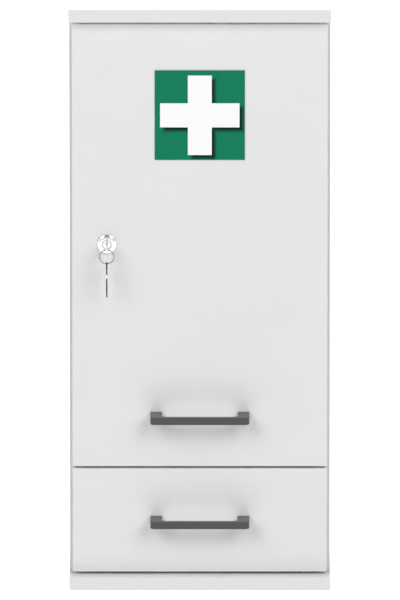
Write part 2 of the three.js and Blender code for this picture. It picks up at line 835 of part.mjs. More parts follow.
function boxSide(sign) {
  const a = sign * boxInner;
  const b = sign * boxOuter;
  const c = sign * (boxInner + BOX_GROOVE);
  return cut(
    slab(Math.min(a, b), Math.max(a, b), boxStart, boxEnd, boxLow, boxHigh),
    slab(
      Math.min(a, c),
      Math.max(a, c),
      boxStart - BOARD,
      floorEnd + SEAM,
      floorLow - SEAM,
      floorHigh + SEAM,
    ),
  );
}
piece(drawer, 'drawer_left_side', boxSide(-1), FINISH.board);
piece(drawer, 'drawer_right_side', boxSide(1), FINISH.board);
piece(
  drawer,
  'drawer_back',
  slab(SEAM - boxInner, boxInner - SEAM, boxEnd - BOX_SIDE, boxEnd, boxLow, boxHigh),
  FINISH.board,
);
piece(
  drawer,
  'drawer_bottom',
  slab(-floorReach, floorReach, boxStart, floorEnd, floorLow, floorHigh),
  FINISH.back,
);

// Telescopic slides: channels one inside the next, drawn from the side board inwards
function channel(u0, u1, half, openLow) {
  const steel = SLIDE_STEEL;
  const webA = openLow ? u1 - steel : u0;
  const webB = openLow ? u1 : u0 + steel;
  const outline = openLow
    ? outlineOf([
      [u0, -half], [webB, -half], [webB, half], [u0, half],
      [u0, half - steel], [webA, half - steel], [webA, steel - half], [u0, steel - half],
    ])
    : outlineOf([
      [webA, -half], [u1, -half], [u1, steel - half], [webB, steel - half],
      [webB, half - steel], [u1, half - steel], [u1, half], [webA, half],
    ]);
  return drawnY(outline, slideStart, slideEnd, 1);
}
const slideZ = boxLow + SLIDE_RISE;
const outerHalf = SLIDE_HEIGHT / 2;
const middleHalf = outerHalf - SLIDE_STEEL - SLIP;
const innerHalf = middleHalf - SLIDE_STEEL - SLIP;
const middleStart = SEAM + SLIDE_STEEL + SLIP;
const innerStart = middleStart + SLIDE_STEEL + SLIP;
const innerEnd = SLIDE_SPACE - SEAM;
const middleEnd = innerEnd - SLIDE_STEEL - SLIP;
const outerEnd = middleEnd - SLIDE_STEEL;
for (const [side, sign] of [['left', -1], ['right', 1]]) {
  const members = [
    [carcass, 'outer', channel(SEAM, outerEnd, outerHalf, false)],
    [drawer, 'middle', channel(middleStart, middleEnd, middleHalf, false)],
    [drawer, 'inner', channel(innerStart, innerEnd, innerHalf, true)],
  ];
  for (const [parent, role, geometry] of members) {
    const turn = sign > 0 ? geometry.clone().rotateY(Math.PI) : geometry;
    const member = piece(parent, `${side}_slide_${role}`, turn, FINISH.steel);
    member.position.set(sign * sideInner, 0, slideZ);
  }
}

export default cabinet;
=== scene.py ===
"""White board medical cabinet: the looks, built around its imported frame.

The frame is in metres with +Z up and the door towards -Y. Sizes in the classes
below are millimetres, apart from the studio's lights and floor, and MM turns
them to metres where a mesh is made.
"""

import logging
import math
from collections.abc import Callable, Iterable, Sequence
from dataclasses import astuple, dataclass, field
from enum import Enum

import bmesh
import bpy
from mathutils import Euler, Matrix, Vector


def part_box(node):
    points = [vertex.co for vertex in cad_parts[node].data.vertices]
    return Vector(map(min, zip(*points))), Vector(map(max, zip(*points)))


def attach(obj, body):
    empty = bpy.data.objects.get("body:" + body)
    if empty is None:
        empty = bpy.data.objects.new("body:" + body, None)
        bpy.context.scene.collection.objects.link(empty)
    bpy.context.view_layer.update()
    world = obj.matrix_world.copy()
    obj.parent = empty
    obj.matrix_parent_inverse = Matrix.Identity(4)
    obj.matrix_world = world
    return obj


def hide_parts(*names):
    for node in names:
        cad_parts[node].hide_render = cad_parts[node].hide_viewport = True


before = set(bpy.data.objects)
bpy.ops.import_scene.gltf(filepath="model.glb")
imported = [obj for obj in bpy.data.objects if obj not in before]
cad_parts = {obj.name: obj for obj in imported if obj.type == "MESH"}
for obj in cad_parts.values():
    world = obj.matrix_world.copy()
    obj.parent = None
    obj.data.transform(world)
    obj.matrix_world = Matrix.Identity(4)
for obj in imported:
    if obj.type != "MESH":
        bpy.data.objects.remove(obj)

MM = 0.001
# How far off a plane a point may lie and still count as on it
NEAR = 0.02 * MM
# Points closer than this are one point
WELD = 0.004 * MM
# Edges shorter than this stay unrounded
SHORT_EDGE = 0.5 * MM
# Faces that bend by less than this are one flat face
FLAT_DEGREES = 0.4
# Handles and small heads stay crisp where they bend by more than this
CRISP_DEGREES = 35.0
# Facets across the roundings of fittings
FITTING_STEPS = 2
# Where the middle values of a noise start and end
NOISE_LOW, NOISE_HIGH = 0.3, 0.7
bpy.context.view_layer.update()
LOG = logging.getLogger("cabinet")

Painter = Callable[[Vector, Vector], int]
EdgeTest = Callable[[Vector, Vector], bool]


class Body(Enum):
    """The bodies that new pieces ride on."""

    CARCASS = "carcass"
    DOOR = "door"
    PLUG = "lock_plug"
    KEY = "key"
    RING = "key_ring"
    SPARE = "spare_key"
    DRAWER = "drawer"


class Slot(Enum):
    """The record's material slots."""

    BOARD = "white_board"
    THIN = "thin_board"
    ANTHRACITE = "anthracite"
    BRIGHT = "bright_metal"
    ZINC = "zinc_steel"
    GREEN = "green_sign"
    WHITE = "white_sign"
    BUFFER = "buffer"


class Axis(Enum):
    """The direction that a board's thickness runs in."""

    X = 0
    Y = 1
    Z = 2


def linear(code: str) -> tuple[float, float, float, float]:
    """Turns an sRGB hex colour to linear light.

    Args:
        code: Six hex digits after a hash.

    Returns:
        Red, green, blue and an alpha of one.
    """
    parts = [int(code[i : i + 2], 16) / 255 for i in (1, 3, 5)]
    light = [c / 12.92 if c <= 0.04045 else ((c + 0.055) / 1.055) ** 2.4 for c in parts]
    return (light[0], light[1], light[2], 1.0)


def per_metre(size_mm: float) -> float:
    """Gives a texture scale whose cells are this many millimetres wide."""
    return 1 / (size_mm * MM)


def add(
    tree: bpy.types.NodeTree,
    kind: str,
    inputs: dict[str | int, object] | None = None,
    feeds: dict[str | int, object] | None = None,
    **settings: object,
) -> bpy.types.Node:
    """Adds a node, sets it up and links it.

    Args:
        tree: The tree that gets the node.
        kind: The node's type.
        inputs: A value or another node's output for each named input.
        feeds: An input, or a list of them, for each named output.
        settings: The node's own properties.

    Returns:
        The new node.
    """
    node = tree.nodes.new(kind)
    for name, value in settings.items():
        setattr(node, name, value)
    for key, value in (inputs or {}).items():
        for item in value if isinstance(value, list) else [value]:
            if isinstance(item, bpy.types.NodeSocket):
                tree.links.new(item, node.inputs[key])
            else:
                node.inputs[key].default_value = item
    for key, target in (feeds or {}).items():
        for item in target if isinstance(target, list) else [target]:
            tree.links.new(node.outputs[key], item)
    return node


@dataclass(frozen=True)
class Coat:
    """A material's nodes while its finish is put on; place is its Object coordinates."""

    tree: bpy.types.NodeTree
    shader: bpy.types.Node
    place: bpy.types.NodeSocket


@dataclass(frozen=True)
class Finish:
    """What every finish shares: its name, main and second colour, and gloss."""

    name: str
    tone: str
    shade: str
    roughness: float
    metallic: float = 0.0

    def make(self) -> bpy.types.Material:
        """Builds the material.

        Returns:
            The material, with its detail nodes.
        """
        material = bpy.data.materials.new(self.name)
        material.use_nodes = True
        tree = material.node_tree
        shader = tree.nodes["Principled BSDF"]
        shader.inputs["Base Color"].default_value = linear(self.tone)
        shader.inputs["Roughness"].default_value = self.roughness
        shader.inputs["Metallic"].default_value = self.metallic
        self.detail(Coat(tree, shader, add(tree, "ShaderNodeTexCoord").outputs["Object"]))
        return material

    def detail(self, coat: Coat) -> None:
        """Adds what the surface shows close up; each finish has its own."""
        raise NotImplementedError

    def skin(
        self,
        coat: Coat,
        drift: bpy.types.NodeSocket,
        relief: bpy.types.NodeSocket,
        swing: float = 0.0,
        strength: float = 0.0,
        depth_mm: float = 0.0,
    ) -> bpy.types.NodeSocket:
        """Puts on the two tones and, where they are asked for, an uneven gloss and a relief.

        Args:
            coat: The material's nodes.
            drift: How much of the second tone shows, from 0 to 1.
            relief: The surface's height, around one half, which also sways the gloss.
            swing: How far the roughness goes each way.
            strength: How clearly the relief catches the light.
            depth_mm: The relief's depth.

        Returns:
            The mixed colour.
        """
        colour = add(
            coat.tree,
            "ShaderNodeMix",
            {0: drift, 6: linear(self.tone), 7: linear(self.shade)},
            {2: coat.shader.inputs["Base Color"]},
            data_type="RGBA",
        ).outputs[2]
        if swing:
            low, high = self.roughness - swing, self.roughness + swing
            add(
                coat.tree,
                "ShaderNodeMapRange",
                {"Value": relief, 1: NOISE_LOW, 2: NOISE_HIGH, 3: low, 4: high},
                {0: coat.shader.inputs["Roughness"]},
            )
        if strength:
            add(
                coat.tree,
                "ShaderNodeBump",
                {"Height": relief, "Strength": strength, "Distance": depth_mm * MM},
                {0: coat.shader.inputs["Normal"]},
            )
        return colour


@dataclass(frozen=True)
class Melamine(Finish):
    """Melamine paper pressed on chipboard: a hard white skin with a fine pearl.

    The real pearl is about 0.4 mm, too fine to show, so it is drawn coarser.
    """

    pearl_mm: float = 1.4
    cloud_mm: float = 130.0
    depth_mm: float = 0.035

    def detail(self, coat: Coat) -> None:
        """Adds the pearl of the press plate and a faint cloudiness of the paper."""
        pearl = add(
            coat.tree,
            "ShaderNodeTexNoise",
            {"Vector": coat.place, "Scale": per_metre(self.pearl_mm), "Detail": 2.0, "Roughness": 0.6},
        ).outputs["Fac"]
        cloud = add(
            coat.tree,
            "ShaderNodeTexNoise",
            {"Vector": coat.place, "Scale": per_metre(self.cloud_mm), "Detail": 3.0, "Roughness": 0.55},
        ).outputs["Fac"]
        self.skin(coat, cloud, pearl, swing=0.06, strength=0.35, depth_mm=self.depth_mm)


@dataclass(frozen=True)
class EdgeBand(Finish):
    """Extruded ABS edging: smoother than the faces, with faint lines along its run."""

    line_mm: float = 1.2
    run_mm: float = 90.0
    depth_mm: float = 0.02

    def detail(self, coat: Coat) -> None:
        """Adds the drawn-out lines of the extruder, which vary its tone, gloss and relief."""
        scale = (per_metre(self.run_mm), per_metre(self.line_mm), per_metre(self.line_mm))
        drawn = add(coat.tree, "ShaderNodeMapping", {"Vector": coat.place, "Scale": scale}).outputs[0]
        lines = add(
            coat.tree, "ShaderNodeTexNoise", {"Vector": drawn, "Scale": 1.0, "Detail": 2.0}
        ).outputs["Fac"]
        self.skin(coat, lines, lines, swing=0.06, strength=0.2, depth_mm=self.depth_mm)


@dataclass(frozen=True)
class Chipboard(Finish):
    """Raw chipboard where a hole or groove cuts the core: pale brown flakes."""

    flake_mm: float = 2.2
    depth_mm: float = 0.25

    def detail(self, coat: Coat) -> None:
        """Adds flakes of wood pressed together with dark gaps."""
        flakes = add(
            coat.tree, "ShaderNodeTexVoronoi", {"Vector": coat.place, "Scale": per_metre(self.flake_mm)}
        ).outputs["Distance"]
        self.skin(coat, flakes, flakes, strength=0.6, depth_mm=self.depth_mm)


@dataclass(frozen=True)
class Lacquered(Finish):
    """A rolled or sprayed coat: even colour with the soft ripple of orange peel."""

    ripple_mm: float = 2.6
    depth_mm: float = 0.05
    fleck: str = ""
    gloss: float = 0.5
    drift_ripples: float = 18.0
    flecks_a_ripple: float = 3.0
    fleck_edge: tuple[float, float] = (0.28, 0.12)
    fleck_share: float = 0.5

    def detail(self, coat: Coat) -> None:
        """Adds the ripple, a drift of tone and, on metal paint, pale flecks."""
        coat.shader.inputs["Specular IOR Level"].default_value = self.gloss
        ripple = add(
            coat.tree,
            "ShaderNodeTexNoise",
            {"Vector": coat.place, "Scale": per_metre(self.ripple_mm), "Detail": 1.5, "Roughness": 0.5},
        ).outputs["Fac"]
        drift_mm = self.drift_ripples * self.ripple_mm
        drift = add(
            coat.tree,
            "ShaderNodeTexNoise",
            {"Vector": coat.place, "Scale": per_metre(drift_mm), "Detail": 3.0},
        ).outputs["Fac"]
        tone = self.skin(coat, drift, ripple, swing=0.05, strength=0.4, depth_mm=self.depth_mm)
        if self.fleck:
            self.add_flecks(coat, tone)

    def add_flecks(self, coat: Coat, tone: bpy.types.NodeSocket) -> None:
        """Sprinkles pale flecks over a tone.

        Args:
            coat: The material's nodes.
            tone: The colour between the flecks.
        """
        fleck_mm = self.ripple_mm / self.flecks_a_ripple
        grains = add(
            coat.tree, "ShaderNodeTexVoronoi", {"Vector": coat.place, "Scale": per_metre(fleck_mm)}
        ).outputs["Distance"]
        outer, inner = self.fleck_edge
        share = add(
            coat.tree,
            "ShaderNodeMapRange",
            {"Value": grains, 1: outer, 2: inner, 3: 0.0, 4: self.fleck_share},
        ).outputs[0]
        add(
            coat.tree,
            "ShaderNodeMix",
            {0: share, 6: tone, 7: linear(self.fleck)},
            {2: coat.shader.inputs["Base Color"]},
            data_type="RGBA",
        )


@dataclass(frozen=True)
class Plated(Finish):
    """Plated metal: a bright skin with hairline rubbing and slight clouding.

    The real hairlines are a few hundredths of a millimetre and are drawn coarser.
    """

    metallic: float = 1.0
    hair_mm: float = 0.35
    run_mm: float = 9.0
    cloud_mm: float = 7.0
    spread: float = 0.05
    depth_mm: float = 0.01

    def detail(self, coat: Coat) -> None:
        """Adds hairlines that vary the gloss, and clouds of a second tone."""
        scale = (per_metre(self.hair_mm), per_metre(self.run_mm), per_metre(self.hair_mm))
        drawn = add(coat.tree, "ShaderNodeMapping", {"Vector": coat.place, "Scale": scale}).outputs[0]
        hairs = add(
            coat.tree, "ShaderNodeTexNoise", {"Vector": drawn, "Scale": 1.0, "Detail": 3.0}
        ).outputs["Fac"]
        clouds = add(
            coat.tree,
            "ShaderNodeTexNoise",
            {"Vector": coat.place, "Scale": per_metre(self.cloud_mm), "Detail": 2.0},
        ).outputs["Fac"]
        self.skin(coat, clouds, hairs, swing=self.spread, strength=0.12, depth_mm=self.depth_mm)


@dataclass(frozen=True)
class PrintedSheet(Finish):
    """Rigid PVC sheet, printed green, with a painted shadow of the cross: a soft dark shade down and to
    its right, the same under any lamp.
    """

    # The painted shadow: the cross's post and beam widths, its shift down and right, its blur and its
    # darkest share
    post: float = 36.5
    beam: float = 38.0
    offset: tuple[float, float] = (5.6, -6.2)
    shadow_blur_mm: float = 8.0
    shadow_darkest: float = 0.95
    grain_mm: float = 1.1
    depth_mm: float = 0.02
    gloss: float = 0.1

    def detail(self, coat: Coat) -> None:
        """Adds the painted shadow beside the cross and a sheet grain."""
        coat.shader.inputs["Specular IOR Level"].default_value = self.gloss
        half_shadow_blur = self.shadow_blur_mm / 2 * MM
        # Painted shadow: darkest inside the shifted cross, fading out across the blur
        painted_shadow = add(
            coat.tree,
            "ShaderNodeMapRange",
            {"Value": self.painted_shadow_gap(coat), 1: half_shadow_blur, 2: -half_shadow_blur, 3: 0.0, 4: self.shadow_darkest},
            interpolation_type="SMOOTHSTEP",
        ).outputs[0]
        grain = add(
            coat.tree,
            "ShaderNodeTexNoise",
            {"Vector": coat.place, "Scale": per_metre(self.grain_mm), "Detail": 2.0},
        ).outputs["Fac"]
        self.skin(coat, painted_shadow, grain, swing=0.05, strength=0.2, depth_mm=self.depth_mm)

    def painted_shadow_gap(self, coat: Coat) -> bpy.types.NodeSocket:
        """Works out how far a point of the sheet is outside the cross shifted down and right, which
        places the painted shadow.

        Args:
            coat: The material's nodes.

        Returns:
            The distance in metres, below zero inside the cross.
        """
        tree = coat.tree
        low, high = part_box("sign_cross")
        middle, size = (low + high) / 2, high - low
        shift = (-middle.x - self.offset[0] * MM, 0.0, -middle.z - self.offset[1] * MM)
        centre = add(tree, "ShaderNodeMapping", {"Vector": coat.place, "Location": shift}).outputs[0]
        apart = add(tree, "ShaderNodeSeparateXYZ", {0: centre})
        across = add(tree, "ShaderNodeMath", {0: apart.outputs["X"]}, operation="ABSOLUTE").outputs[0]
        up = add(tree, "ShaderNodeMath", {0: apart.outputs["Z"]}, operation="ABSOLUTE").outputs[0]
        arms: list[bpy.types.NodeSocket] = []
        for wide, tall in ((size.x, self.beam * MM), (self.post * MM, size.z)):
            side = add(tree, "ShaderNodeMath", {0: across, 1: wide / 2}, operation="SUBTRACT").outputs[0]
            rise = add(tree, "ShaderNodeMath", {0: up, 1: tall / 2}, operation="SUBTRACT").outputs[0]
            arms.append(add(tree, "ShaderNodeMath", {0: side, 1: rise}, operation="MAXIMUM").outputs[0])
        return add(tree, "ShaderNodeMath", {0: arms[0], 1: arms[1]}, operation="MINIMUM").outputs[0]


@dataclass(frozen=True)
class SoftPlastic(Finish):
    """Cast clear polyurethane: a milky, slightly tacky dot."""

    ripple_mm: float = 1.5
    clear: float = 0.35
    ior: float = 1.49

    def detail(self, coat: Coat) -> None:
        """Adds a little light through the dot and an uneven gloss."""
        coat.shader.inputs["Transmission Weight"].default_value = self.clear
        coat.shader.inputs["IOR"].default_value = self.ior
        ripple = add(
            coat.tree,
            "ShaderNodeTexNoise",
            {"Vector": coat.place, "Scale": per_metre(self.ripple_mm), "Detail": 2.0},
        ).outputs["Fac"]
        self.skin(coat, ripple, ripple, swing=0.08)


class Surface(Enum):
    """Every finish on the cabinet.

    Melamine gives a hard, even white with a quiet sheen; ABS edging is a touch
    smoother; raw chipboard shows only in holes and grooves; lacquered fibreboard
    is flatter white; powder coat is a dark satin with a fine ripple; nickel plate
    mirrors the room; the key in the lock is satin nickel silver; the spare key and
    ring are darker burnished steel, their dark tone partly a painted dark reflection,
    and the spare key's front edge carries a painted highlight in satin nickel silver;
    zinc plate is a cool, cloudy grey; the sign is satin PVC with a painted shadow
    beside its cross.
    """

    BOARD = Melamine("melamine_faced_chipboard", "#E5E5E5", "#DFDFDF", 0.5)
    EDGE = EdgeBand("abs_edge_band", "#E5E5E5", "#DCDCDC", 0.35)
    CORE = Chipboard("raw_chipboard", "#C9A777", "#8E6B43", 0.9)
    FIBRE = Lacquered("lacquered_fibreboard", "#E9E9E7", "#E4E4E2", 0.5)
    ANTHRACITE = Lacquered(
        "anthracite_powder_coat",
        "#4B4C4E",
        "#464749",
        0.2,
        ripple_mm=1.1,
        depth_mm=0.03,
        fleck="#5A5B5D",
        gloss=0.32,
    )
    NICKEL = Plated("nickel_plated_brass", "#E4E5E5", "#D2D3D3", 0.12)
    SATIN = Plated("satin_nickel_silver", "#E6E7E7", "#DADBDB", 0.38)
    # Darker than the key in the lock of the same set: burnished steel whose dark tone is partly a
    # painted dark reflection
    BURNISHED_DARK_REFLECTION = Plated("burnished_steel_dark_reflection", "#3C3E40", "#323436", 0.22, spread=0.06)
    ZINC = Plated(
        "zinc_plated_steel",
        "#C3C7CA",
        "#AEB3B8",
        0.33,
        hair_mm=0.5,
        run_mm=14.0,
        cloud_mm=9.0,
        spread=0.08,
    )
    # The second colour is the dark green of the painted shadow beside the cross
    GREEN = PrintedSheet("green_pvc_sheet", "#0A7A58", "#02120C", 0.6)
    WHITE = Lacquered("white_pvc_sheet", "#FBFBFB", "#F6F6F6", 0.4, ripple_mm=1.1, depth_mm=0.02)
    CAP = Lacquered("white_polypropylene_cap", "#ECECEA", "#E4E4E2", 0.38, ripple_mm=1.4, depth_mm=0.03)
    BUFFER = SoftPlastic("polyurethane_dot", "#E3E8EA", "#C9D0D2", 0.3)


MATERIALS: dict[Surface, bpy.types.Material] = {}


def material(surface: Surface) -> bpy.types.Material:
    """Makes a finish's material once and gives it again later."""
    if surface not in MATERIALS:
        MATERIALS[surface] = surface.value.make()
    return MATERIALS[surface]


def bake(obj: bpy.types.Object) -> bpy.types.Mesh:
    """Turns an object and its modifiers to a plain mesh, and removes the object.

    Args:
        obj: A working object.

    Returns:
        The finished mesh.
    """
    graph = bpy.context.evaluated_depsgraph_get()
    final = obj.evaluated_get(graph)
    mesh = bpy.data.meshes.new_from_object(final, preserve_all_data_layers=True, depsgraph=graph)
    spent = obj.data
    bpy.data.objects.remove(obj)
    bpy.data.meshes.remove(spent)
    return mesh


def workpiece(name: str, mesh: bpy.types.Mesh) -> bpy.types.Object:
    """Puts a mesh in the scene as an object at the origin."""
    obj = bpy.data.objects.new(name, mesh)
    bpy.context.scene.collection.objects.link(obj)
    return obj


def copied(node: str) -> bmesh.types.BMesh:
    """Copies a CAD node's mesh, welded and with its flat areas made whole.

    Args:
        node: The node's name.

    Returns:
        The copy.
    """
    shape = bmesh.new()
    shape.from_mesh(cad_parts[node].data)
    bmesh.ops.remove_doubles(shape, verts=shape.verts, dist=WELD)
    bmesh.ops.dissolve_limit(
        shape,
        angle_limit=math.radians(FLAT_DEGREES),
        verts=shape.verts,
        edges=shape.edges,
        delimit={"NORMAL"},
    )
    return shape


def softened(
    name: str,
    shape: bmesh.types.BMesh,
    round_mm: float,
    chosen: EdgeTest,
    steps: int = 3,
    sharp: float = 40.0,
) -> bpy.types.Mesh:
    """Rounds some edges of a shape and shades it as one made piece.

    Args:
        name: The mesh's name.
        shape: The shape, which is used up.
        round_mm: The rounding's width.
        chosen: Says which edges are rounded, from their two ends.
        steps: Facets across a rounding.
        sharp: Edges over this many degrees stay crisp.

    Returns:
        The finished mesh.
    """
    if round_mm > 0:
        weights = shape.edges.layers.float.new("bevel_weight_edge")
        for edge in shape.edges:
            bent = edge.is_manifold and edge.calc_face_angle(0.0) > math.radians(sharp)
            edge[weights] = 1.0 if bent and chosen(edge.verts[0].co, edge.verts[1].co) else 0.0
    mesh = bpy.data.meshes.new(name)
    shape.to_mesh(mesh)
    shape.free()
    obj = workpiece(name + "_work", mesh)
    if round_mm > 0:
        bevel = obj.modifiers.new("round", "BEVEL")
        bevel.limit_method = "WEIGHT"
        bevel.width = round_mm * MM
        bevel.segments = steps
        bevel.use_clamp_overlap = True
    made = bake(obj)
    made.shade_smooth()
    made.set_sharp_from_angle(angle=math.radians(sharp))
    obj = workpiece(name + "_shade", made)
    even = obj.modifiers.new("even", "WEIGHTED_NORMAL")
    even.keep_sharp = True
    even.weight = 100
    made = bake(obj)
    made.name = name
    return made


def turned(profile: Sequence[tuple[float, float]], centre: Vector, steps: int) -> bmesh.types.BMesh:
    """Turns a closed profile about an axis along Y.

    Args:
        profile: Radius and place along Y in millimetres, once round.
        centre: A point on the axis, in metres.
        steps: Facets round the axis.

    Returns:
        The turned shape.
    """
    shape = bmesh.new()
    rings = []
    for i in range(steps):
        angle = 2 * math.pi * i / steps
        rings.append(
            [
                shape.verts.new(
                    centre + Vector((r * MM * math.cos(angle), y * MM, r * MM * math.sin(angle)))
                )
                for r, y in profile
            ]
        )
    count = len(profile)
    for i in range(steps):
        here, there = rings[i], rings[(i + 1) % steps]
        for j in range(count):
            k = (j + 1) % count
            shape.faces.new((here[j], here[k], there[k], there[j]))
    bmesh.ops.recalc_face_normals(shape, faces=shape.faces)
    return shape


def rounded(
    points: Sequence[tuple[float, float]], radii: dict[int, float], steps: int = 5
) -> list[tuple[float, float]]:
    """Rounds some corners of a closed outline.

    Args:
        points: The outline's corners.
        radii: A corner's number and how far from it the rounding starts.
        steps: Points in a rounding.

    Returns:
        The outline with its corners rounded.
    """
    out: list[tuple[float, float]] = []
    for i, point in enumerate(points):
        if i not in radii:
            out.append(point)
            continue
        here = Vector(point)
        before = Vector(points[i - 1]) - here
        after = Vector(points[(i + 1) % len(points)]) - here
        start = here + before.normalized() * radii[i]
        end = here + after.normalized() * radii[i]
        for j in range(steps + 1):
            t = j / steps
            spot = start * (1 - t) ** 2 + here * 2 * t * (1 - t) + end * t * t
            out.append((spot.x, spot.y))
    return out


@dataclass
class Piece:
    """A finished mesh, the body that carries it and the nodes it stands for."""

    name: str
    mesh: bpy.types.Mesh
    body: Body
    slot: Slot
    surfaces: tuple[Surface, ...]
    stands_for: tuple[str, ...] = ()
    painter: Painter | None = None

    def place(self) -> None:
        """Puts the piece in the scene, dressed and riding on its body."""
        self.mesh.materials.clear()
        for surface in self.surfaces:
            self.mesh.materials.append(material(surface))
        for face in self.mesh.polygons:
            face.material_index = self.painter(face.center, face.normal) if self.painter else 0
        obj = workpiece(self.name, self.mesh)
        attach(obj, self.body.value)
        if self.stands_for:
            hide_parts(*self.stands_for)
        LOG.info("%s on %s, %d faces", self.name, self.body.value, len(self.mesh.polygons))


@dataclass
class Assembly:
    """Pieces that are built and dressed together."""

    pieces: list[Piece] = field(default_factory=list, init=False)
    kept: dict[str, Surface] = field(default_factory=dict, init=False)

    def build(self) -> None:
        """Makes the meshes; each sub-assembly has its own."""
        raise NotImplementedError

    def dress(self) -> None:
        """Places the pieces and gives the CAD nodes that stay their finish."""
        for piece in self.pieces:
            piece.place()
        for node, surface in self.kept.items():
            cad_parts[node].material_slots[0].material = material(surface)
            LOG.info("%s kept, in %s", node, surface.value.name)


def on_planes(planes: Sequence[tuple[Axis, float]], least: int = 1) -> EdgeTest:
    """Makes a test for the edges that lie on some planes.

    Args:
        planes: The axis that each plane is square to, and its place along it.
        least: On how many of the planes an edge has to lie.

    Returns:
        The test.
    """

    def test(a: Vector, b: Vector) -> bool:
        """Tells whether both ends of an edge lie on enough of the planes."""
        on = [abs(a[axis.value] - at) < NEAR and abs(b[axis.value] - at) < NEAR for axis, at in planes]
        return sum(on) >= least

    return test


def on_box(node: str, sides: int = 2) -> EdgeTest:
    """Makes a test for the edges on this many sides of a node's own box."""
    return on_planes([(axis, corner[axis.value]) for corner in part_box(node) for axis in Axis], sides)


def front_rim(node: str) -> EdgeTest:
    """Makes a test for the outline of a node's front face."""
    return on_planes([(Axis.Y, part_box(node)[0].y)])


# A board's face is outer skin within this depth of its box, if it leans out by this much
SKIN_DEPTH = 1.4 * MM
SKIN_LEAN = 0.3
# Skin that leans this much along the thickness is on a flat, and the rest is edge band
FLAT_LEAN = 0.6


def board_painter(node: str, axis: Axis) -> Painter:
    """Makes a rule for a board's faces: skin on the flats, band on the edges, core in the holes.

    Args:
        node: The board's node.
        axis: The direction of its thickness.

    Returns:
        The rule, giving 0 for skin, 1 for band and 2 for core.
    """
    low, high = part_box(node)

    def rule(centre: Vector, normal: Vector) -> int:
        """Gives a face's finish from where it is and where it looks."""
        outside = any(
            abs(centre[i] - side) < SKIN_DEPTH and normal[i] * sign > SKIN_LEAN
            for i in range(3)
            for side, sign in ((low[i], -1), (high[i], 1))
        )
        if not outside:
            return 2
        return 0 if abs(normal[axis.value]) > FLAT_LEAN else 1

    return rule


BOARD_SURFACES = (Surface.BOARD, Surface.EDGE, Surface.CORE)


def board(node: str, axis: Axis, body: Body, round_mm: float) -> Piece:
    """Makes a board with softened edges from its node.

    Args:
        node: The board's node.
        axis: The direction of its thickness.
        body: The body that carries it.
        round_mm: The rounding of its edge band.

    Returns:
        The piece.
    """
    mesh = softened(node + "_skin", copied(node), round_mm, on_box(node))
    painter = board_painter(node, axis)
    return Piece(node + "_faced", mesh, body, Slot.BOARD, BOARD_SURFACES, (node,), painter)


def any_edge(a: Vector, b: Vector) -> bool:
    """Chooses every bent edge longer than half a millimetre."""
    return (a - b).length > SHORT_EDGE


def fitting(
    node: str,
    body: Body,
    round_mm: float,
    chosen: EdgeTest = any_edge,
    slot: Slot = Slot.ZINC,
    surface: Surface = Surface.ZINC,
) -> Piece:
    """Makes a metal or plastic fitting with softened edges from its node.

    Args:
        node: The fitting's node.
        body: The body that carries it.
        round_mm: The rounding of its edges.
        chosen: Says which edges are rounded.
        slot: The record's slot.
        surface: Its finish.

    Returns:
        The piece.
    """
    mesh = softened(node + "_skin", copied(node), round_mm, chosen, FITTING_STEPS)
    return Piece(node + "_finished", mesh, body, slot, (surface,), (node,))


def group_inputs(tree: bpy.types.NodeTree) -> dict[str, str]:
    """Gives the identifier of each named input of a geometry tree."""
    return {
        item.name: item.identifier
        for item in tree.interface.items_tree
        if item.item_type == "SOCKET" and item.in_out == "INPUT"
    }


def new_tree(
    name: str, sizes: Iterable[str]
) -> tuple[bpy.types.NodeTree, bpy.types.Node, bpy.types.Node]:
    """Starts a geometry tree with named sizes and a material.

    Args:
        name: The tree's name.
        sizes: The names of its sizes.

    Returns:
        The tree, its input node and its output node.
    """
    tree = bpy.data.node_groups.new(name, "GeometryNodeTree")
    tree.interface.new_socket("Geometry", in_out="INPUT", socket_type="NodeSocketGeometry")
    for size in sizes:
        tree.interface.new_socket(size, in_out="INPUT", socket_type="NodeSocketFloat")
    tree.interface.new_socket("Material", in_out="INPUT", socket_type="NodeSocketMaterial")
    tree.interface.new_socket("Geometry", in_out="OUTPUT", socket_type="NodeSocketGeometry")
    return tree, add(tree, "NodeGroupInput"), add(tree, "NodeGroupOutput")


def close_tree(
    tree: bpy.types.NodeTree, start: bpy.types.Node, end: bpy.types.Node, made: bpy.types.NodeSocket
) -> None:
    """Ends a geometry tree with real meshes in its material.

    Args:
        tree: The tree.
        start: Its input node.
        end: Its output node.
        made: What the tree makes.
    """
    whole = add(tree, "GeometryNodeRealizeInstances", {0: made}).outputs[0]
    add(
        tree,
        "GeometryNodeSetMaterial",
        {"Geometry": whole, "Material": start.outputs["Material"]},
        {0: end.inputs["Geometry"]},
    )


# A head's facets, its top's share of its width, and its sizes in the order of Heads
HEAD_SIDES = 20
HEAD_CROWN = 0.72
HEAD_SIZES = ("Radius", "Height", "Slot Width", "Slot Length", "Slot Depth")


